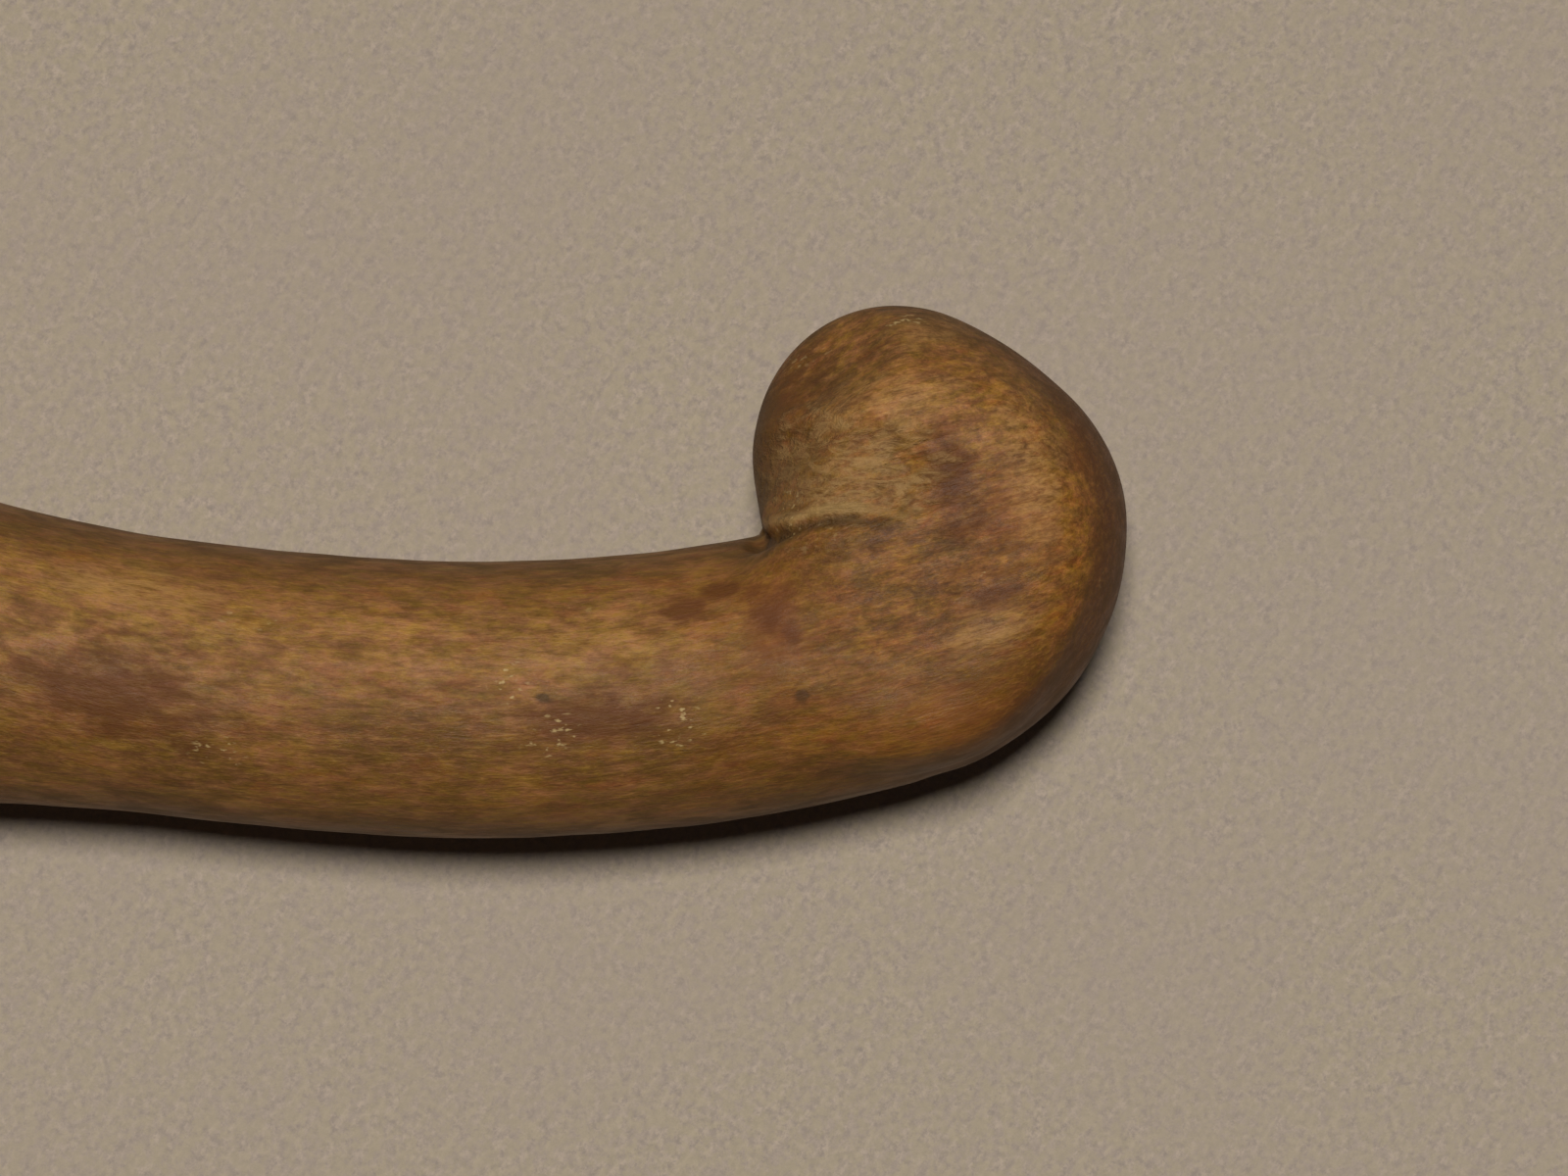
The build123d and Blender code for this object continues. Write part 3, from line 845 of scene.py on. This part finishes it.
def carved_wood(f, at, base):
    """The knob's grit and painted shade on its flank, pale cuts in the hollow, and the crease with
    painted shade along it and its lip.
    """
    grit = f.noise(f.stretch(at.knob, (1.5, 2.3, 1.5), (3, 8, 2)), 1.0, 4.0, 0.75, 0.3)
    gritty = f.mix(f.span(grit, 0.36, 0.64), *GRIT)
    base = f.mix(f.math("MULTIPLY", at.on_knob, 0.8), base, gritty, "MULTIPLY")
    # painted shade on the knob's steep flank
    flank = f.patch(at.knob, *FLANK, at.mottling, 0.5)
    base = f.mix(f.math("MULTIPLY", flank, 0.55), base, FLANK_SHADE)
    pale_cuts = f.math("MULTIPLY", at.hollow, f.span(at.cuts, 0.4, 0.64, 0.1, 0.7))
    base = f.mix(pale_cuts, base, FRESH_CUT)
    past_crease, present = crease_lines(f, at.knob)
    # painted shade darkening the crease
    groove = f.span(f.math("ABSOLUTE", past_crease), 0.6, 0.1)
    groove = f.math("MULTIPLY", groove, f.math("MULTIPLY", present, 0.65))
    base = f.mix(groove, base, CREASE_SHADE)
    lip_line = 0.9  # mm past the crease
    lip = f.span(f.math("ABSOLUTE", f.math("SUBTRACT", past_crease, lip_line)), 0.5, 0.1)
    lip = f.math("MULTIPLY", lip, f.math("MULTIPLY", present, 0.5))
    return f.mix(lip, base, CREASE_LIP)


def crease_lines(f, knob):
    """How far a place is past the crease in mm, and how strongly the crease's painted shade and lip
    show along its length.
    """
    off = f.about(knob, (*CREASE_CENTRE, 0), (1, 1, 0))
    parts = f.parts(off)
    past = f.math("SUBTRACT", f.length(off), CREASE_RADIUS)
    angle = f.math("ARCTAN2", parts["Y"], parts["X"])
    sooner = (0.0, 0.3)  # radians: the painted shade is full before the crease is at its full depth
    present = f.math(
        "MULTIPLY",
        f.span(angle, *np.radians(CREASE_FRONT) - sooner),
        f.span(angle, *np.radians(CREASE_BACK)),
    )
    on_top = f.span(f.parts(knob)["Z"], *CARVED_HEIGHTS)
    return past, f.math("MULTIPLY", present, on_top)


def shaded_dusty_wood(f, at, base):
    """The dark band round the toe, painted shade on the steeper sides all round, and dust in the
    pores.
    """
    off = f.about(at.knob, (*BAND_CENTRE, 0), (1, 1, 0))
    band = f.math(
        "MULTIPLY", f.span(f.length(off), *BAND_RADII), f.span(f.parts(off)["X"], *BAND_SIDE)
    )
    band = f.math("MULTIPLY", band, f.span(at.streaks, 0.62, 0.42, 0.45, 0.95))
    base = f.mix(band, base, BAND_RED)
    # painted shade: darker wherever the surface turns away from straight up
    rim = f.math(
        "MULTIPLY", f.span(f.facing_up(), 0.78, 0.3), f.span(at.mottling, 0.3, 0.6, 0.75, 0.35)
    )
    base = f.mix(rim, base, RIM_SHADE)
    pores = f.noise(f.stretch(at.grain, (1.5, 2.7, 2.7), (9, 9, 1)), 1.0, 2.0, 0.5)
    spread = f.noise(f.stretch(at.grain, (0.1, 0.2, 0.2), (5, 5, 5)), 1.0, 2.0)
    elsewhere = f.span(spread, 0.66, 0.74, 0, 0.4)
    flecked = f.math("MAXIMUM", f.patches(at.grain, FLECKED, at.mottling, 0.4), elsewhere)
    pale = f.math("MULTIPLY", f.span(pores, 0.59, 0.7), flecked)
    return f.mix(f.math("MULTIPLY", pale, 0.8), base, PORE_DUST)


def head_finish():
    """Dark bentwood, worn by hands: fibre streaks, pale pores, stains, painted shade at the rims and
    back, and a painted highlight along the front.
    """
    f = Finish("head_wood", **{"IOR": 1.45, "Specular IOR Level": 0.3})
    at = head_fields(f)
    base = streaked_wood(f, at)
    for layer in (tinted_wood, marked_wood, carved_wood, shaded_dusty_wood):
        base = layer(f, at, base)
    height = f.math("MULTIPLY_ADD", at.streaks, 0.5, f.math("MULTIPLY", at.fine, 0.5))
    normal = f.bump(height, 0.12)
    normal = f.bump(f.math("MULTIPLY", at.cuts, at.hollow), 0.25, 0.8, normal)
    rough = f.span(at.mottling, 0.35, 0.65, 0.62, 0.46)
    return f.finish(base, rough, normal)


def shaft_finish():
    """Straight-grained ash under old varnish, with growth rings, pores and handling wear."""
    f = Finish("shaft_wood", **{"IOR": 1.5, "Coat Weight": 0.25, "Coat Roughness": 0.25})
    place = f.place()
    pith = (0.0, -38.0, 24.0)
    waver = f.noise(f.stretch(place, (0.006, 0.05, 0.05)), 1.0, 3.0, 0.5)
    from_pith = f.length(f.about(place, pith, (0.0, 1.0, 1.0)))
    rings_per_mm = 0.55
    ring = f.math("MULTIPLY_ADD", waver, 9.0, f.math("MULTIPLY", from_pith, rings_per_mm))
    ring = f.math("FRACT", ring)
    early = f.math("MULTIPLY", f.span(ring, 0.0, 0.12), f.span(ring, 0.6, 0.16))
    fibre = f.noise(f.stretch(place, (0.05, 2.4, 2.4)), 1.0, 5.0, 0.7, 0.2)
    pores = f.noise(f.stretch(place, (0.16, 4.5, 4.5), (3, 3, 3)), 1.0, 2.0, 0.5)
    clouds = f.noise(f.stretch(place, (0.012, 0.06, 0.06), (2, 5, 7)), 1.0, 3.0, 0.6)
    base = f.mix(f.span(clouds, 0.35, 0.65), colour(0.21, 0.1, 0.033), colour(0.3, 0.155, 0.055))
    base = f.mix(f.math("MULTIPLY", early, 0.5), base, colour(0.135, 0.06, 0.018))
    base = f.mix(f.span(fibre, 0.5, 0.36, 0, 0.5), base, colour(0.13, 0.06, 0.019))
    base = f.mix(f.span(fibre, 0.55, 0.7, 0, 0.35), base, colour(0.4, 0.22, 0.083))
    open_pore = f.math("MULTIPLY", f.span(pores, 0.57, 0.64), f.math("MULTIPLY_ADD", early, 0.8, 0.1))
    base = f.mix(open_pore, base, colour(0.07, 0.03, 0.01))
    dents = f.noise(f.stretch(place, (0.03, 0.12, 0.12), (7, 1, 4)), 1.0, 4.0, 0.7)
    worn = f.span(dents, 0.56, 0.68)
    base = f.mix(f.math("MULTIPLY", worn, 0.4), base, colour(0.36, 0.22, 0.1))
    rough = f.span(worn, 0, 1, 0.34, 0.58)
    height = f.math("SUBTRACT", f.math("MULTIPLY", fibre, 0.3), open_pore)
    return f.finish(base, rough, f.bump(height, 0.12))


def end_grain_finish(name, pith, light, dark):
    """A peg or a wedge: rings and dots of end grain seen from above."""
    f = Finish(name, Roughness=0.55)
    place = f.place()
    off = f.about(place, pith, (1.0, 1.0, 0.05))
    rings = f.math("SINE", f.math("MULTIPLY", f.length(off), 6.5))
    dots = f.cells(f.stretch(place, (5.0, 5.0, 0.4)), 1.0)
    base = f.mix(f.span(rings, -0.4, 0.9, 0, 0.6), light, dark)
    base = f.mix(f.span(dots, 0.28, 0.12, 0, 0.8), base, colour(0.05, 0.024, 0.01))
    return f.finish(base, None, f.bump(dots, 0.08))


def around_axis(f):
    """The cue's coordinates, and the distances along its axis and out from it."""
    place = f.place()
    parts = f.parts(place)
    out = f.length(f.about(place, (0.0, 0.0, AXIS_Z), (0.0, 1.0, 1.0)))
    return place, parts["X"], out


def cap_finish():
    """Dark turned hardwood with tool rings under a polish, worn pale at its rim."""
    f = Finish("cap_wood", **{"IOR": 1.5, "Coat Weight": 0.3, "Coat Roughness": 0.2})
    place, x, out = around_axis(f)
    fibre = f.noise(f.stretch(place, (0.12, 2.2, 2.2)), 1.0, 5.0, 0.65, 0.3)
    pores = f.noise(f.stretch(place, (0.3, 5.0, 5.0), (1, 2, 3)), 1.0, 2.0)
    tool = f.noise(f.join(f.math("MULTIPLY", x, 4.0), f.math("MULTIPLY", out, 4.0)), 1.0, 2.0, 0.6)
    base = f.mix(f.span(fibre, 0.36, 0.64), colour(0.055, 0.022, 0.011), colour(0.15, 0.062, 0.028))
    base = f.mix(f.span(pores, 0.56, 0.64, 0, 0.8), base, colour(0.018, 0.008, 0.005))
    chips = f.noise(f.stretch(place, (0.5, 0.5, 0.5)), 1.0, 5.0, 0.7)
    butt = cap_low.x / MM
    near_rim = f.math("MULTIPLY", f.span(x, butt + 3.6, butt + 0.9), f.span(out, 8.6, 11.2))
    worn = f.math("MULTIPLY", near_rim, f.span(chips, 0.4, 0.56))
    base = f.mix(f.math("MULTIPLY", worn, 0.75), base, colour(0.27, 0.14, 0.07))
    rough = f.span(worn, 0, 1, 0.3, 0.6)
    height = f.math("MULTIPLY_ADD", tool, 0.35, f.math("MULTIPLY", fibre, 0.2))
    return f.finish(base, rough, f.bump(height, 0.12))


def brass_finish(name, tarnish):
    """Turned brass: tool rings, brown tarnish in clouds, dark specks and a little green."""
    f = Finish(name)
    place, x, out = around_axis(f)
    rings = f.noise(f.join(f.math("MULTIPLY", x, 7.0), f.math("MULTIPLY", out, 7.0)), 1.0, 3.0, 0.7)
    clouds = f.noise(f.stretch(place, (0.25, 0.25, 0.25)), 1.0, 5.0, 0.7, 0.4)
    specks = f.noise(f.stretch(place, (1.8, 1.8, 1.8), (3, 5, 7)), 1.0, 4.0, 0.75)
    scratches = f.noise(f.stretch(place, (0.4, 5.0, 1.2), (1, 1, 8)), 1.0, 3.0, 0.7, 0.6)
    base = f.mix(f.span(rings, 0.4, 0.6), colour(0.5, 0.33, 0.12), colour(0.62, 0.44, 0.18))
    dull = f.span(clouds, 0.62 - tarnish, 0.66 - tarnish / 2, 0.15, 0.85)
    base = f.mix(dull, base, colour(0.2, 0.115, 0.045))
    base = f.mix(f.span(specks, 0.6, 0.7, 0, 0.7), base, colour(0.07, 0.045, 0.022))
    green = f.math("MULTIPLY", f.span(specks, 0.4, 0.3), f.span(clouds, 0.5, 0.62))
    base = f.mix(f.math("MULTIPLY", green, 0.7), base, colour(0.16, 0.25, 0.16))
    rough = f.math("MULTIPLY_ADD", dull, 0.22, f.span(scratches, 0.4, 0.66, 0.26, 0.42))
    metal = f.math("SUBTRACT", 1.0, f.math("MULTIPLY", green, 0.8))
    height = f.math("MULTIPLY_ADD", rings, 0.5, f.math("MULTIPLY", scratches, 0.3))
    return f.finish(base, rough, f.bump(height, 0.05), metal)


def leather_finish():
    """Old oiled calf: pebbled grain, a painted shadow in the laps, rubbed lighter and smoother on
    top.
    """
    f = Finish("grip_leather", **{"IOR": 1.48, "Specular IOR Level": 0.45})
    cut = f.stored("grain")
    parts = f.parts(cut)
    place = f.place()
    pebbles = f.cells(f.stretch(place, (1.5, 1.5, 1.5)), 1.0)
    creases = f.cells(f.stretch(place, (0.8, 1.2, 1.2)), 1.0, "DISTANCE_TO_EDGE")
    clouds = f.noise(f.stretch(place, (0.05, 0.12, 0.12)), 1.0, 4.0, 0.6)
    specks = f.noise(f.stretch(place, (1.1, 1.1, 1.1)), 1.0, 4.0, 0.7)
    base = f.mix(f.span(clouds, 0.35, 0.65), colour(0.06, 0.026, 0.013), colour(0.13, 0.058, 0.027))
    base = f.mix(f.span(pebbles, 0.15, 0.5, 0, 0.45), base, colour(0.19, 0.09, 0.042))
    base = f.mix(f.span(creases, 0.08, 0.0, 0, 0.35), base, colour(0.03, 0.014, 0.009))
    on_lap = f.span(parts["Y"], 4.5, 1.2)
    rubbed = f.math("MULTIPLY", on_lap, f.span(specks, 0.4, 0.62))
    base = f.mix(f.math("MULTIPLY", rubbed, 0.6), base, colour(0.3, 0.155, 0.075))
    raw_edge = f.span(parts["Y"], 0.35, 0.1)
    base = f.mix(f.math("MULTIPLY", raw_edge, 0.6), base, colour(0.36, 0.22, 0.12))
    # painted shadow on the strip where the next turn's edge lies over it
    painted_lap_shadow = f.span(parts["Y"], STRIP_PITCH - 2.4, STRIP_PITCH - 0.2)
    base = f.mix(f.math("MULTIPLY", painted_lap_shadow, 0.7), base, colour(0.018, 0.009, 0.006))
    rough = f.span(rubbed, 0, 1, 0.56, 0.36)
    height = f.math("MULTIPLY_ADD", pebbles, 0.6, f.span(creases, 0.0, 0.15, 0, 0.3))
    return f.finish(base, rough, f.bump(height, 0.11))


def thread_finish():
    """Waxed linen thread: two plies twisted, with pale fuzz, and dirt in places."""
    f = Finish("whipping_thread", **{"IOR": 1.45, "Sheen Weight": 0.2})
    wound = f.stored("grain")
    parts = f.parts(wound)
    twist, plies = 3.6, 2.0  # radians to a millimetre of thread, and to a radian round it
    lay = f.math("MULTIPLY_ADD", parts["X"], twist, f.math("MULTIPLY", parts["Y"], plies))
    ply = f.math("SINE", lay)
    fuzz = f.noise(f.stretch(wound, (1.2, 1.2, 1.2)), 1.0, 4.0, 0.7)
    dirt = f.noise(f.stretch(f.place(), (0.35, 0.35, 0.35)), 1.0, 3.0, 0.6)
    base = f.mix(f.span(fuzz, 0.36, 0.64), colour(0.2, 0.13, 0.066), colour(0.36, 0.255, 0.14))
    base = f.mix(f.span(ply, 0.0, -1.0, 0, 0.7), base, colour(0.06, 0.036, 0.018))
    base = f.mix(f.span(dirt, 0.45, 0.62, 0, 0.6), base, colour(0.09, 0.055, 0.03))
    rough = f.span(fuzz, 0.35, 0.65, 0.5, 0.75)
    height = f.math("MULTIPLY_ADD", fuzz, 0.3, f.math("MULTIPLY", ply, 0.35))
    return f.finish(base, rough, f.bump(height, 0.2))


def floor_finish():
    """Warm grey paper with a fine tooth."""
    f = Finish("paper", **{"Roughness": 0.95, "Specular IOR Level": 0.2})
    place = f.place()
    tooth = f.noise(f.stretch(place, (1.8, 1.8, 1.8)), 1.0, 4.0, 0.75)
    fibres = f.noise(f.stretch(place, (0.6, 1.6, 1.0), (4, 4, 4)), 1.0, 4.0, 0.7, 0.6)
    tint = f.noise(f.stretch(place, (0.9, 0.9, 0.9), (8, 8, 8)), 1.0, 5.0, 0.75)
    clouds = f.noise(f.stretch(place, (0.04, 0.04, 0.04)), 1.0, 2.0)
    base = f.mix(f.span(tooth, 0.34, 0.66), colour(0.35, 0.295, 0.255), colour(0.565, 0.465, 0.375))
    base = f.mix(f.span(fibres, 0.38, 0.62, 0, 0.6), base, colour(0.42, 0.35, 0.3))
    base = f.mix(f.span(tint, 0.4, 0.6, 0, 0.6), base, colour(0.48, 0.41, 0.28))
    base = f.mix(f.span(clouds, 0.3, 0.7, 0, 0.3), base, colour(0.45, 0.37, 0.32))
    return f.finish(base, None, f.bump(tooth, 0.05))


def make_floor():
    """A sheet large enough for every view."""
    half = FLOOR_HALF
    corners = [(-half, -half, 0), (half, -half, 0), (half, half, 0), (-half, half, 0)]
    mesh = bpy.data.meshes.new("floor")
    mesh.from_pydata(corners, [], [(0, 1, 2, 3)])
    floor = bpy.data.objects.new("floor", mesh)
    floor.data.materials.append(floor_finish())
    bpy.context.scene.collection.objects.link(floor)


def put_on(piece, node, material):
    """A piece that stands for a CAD node: it takes a finish and the root body, and the node is
    hidden.
    """
    piece.data.materials.append(material)
    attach(piece, "root")
    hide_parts(node)


def paint(node, material):
    """Gives a CAD node its finish."""
    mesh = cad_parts[node].data
    mesh.materials.clear()
    mesh.materials.append(material)


make_camera()
make_light()
make_floor()

put_on(make_head(), "bent_head", head_finish())
put_on(make_grip(), "grip_leather", leather_finish())
thread = thread_finish()
for end in ("front", "rear"):
    node = "grip_whipping_" + end
    put_on(make_whipping("whipping_coil_" + end, node), node, thread)

PEG_COLOURS = (colour(0.3, 0.16, 0.06), colour(0.13, 0.06, 0.022))
PEG_PITH = (PEG_X - 0.6, -0.4, 0.0)
WEDGE_COLOURS = (colour(0.45, 0.28, 0.13), colour(0.3, 0.17, 0.07))
WEDGE_PITH = (HEAD_X, -3.0, 0.0)
BRASS = (  # node, name of the finish, tarnish
    ("ferrule", "ferrule_brass", 0.1),
    ("ferrule_pins", "pin_brass", 0.02),
    ("cup_washer", "washer_brass", 0.12),
    ("butt_screw", "screw_brass", 0.06),
)

paint("shaft", shaft_finish())
paint("butt_cap", cap_finish())
paint("head_peg", end_grain_finish("peg_wood", PEG_PITH, *PEG_COLOURS))
paint("tenon_wedge", end_grain_finish("wedge_wood", WEDGE_PITH, *WEDGE_COLOURS))
for node, name, tarnish in BRASS:
    paint(node, brass_finish(name, tarnish))
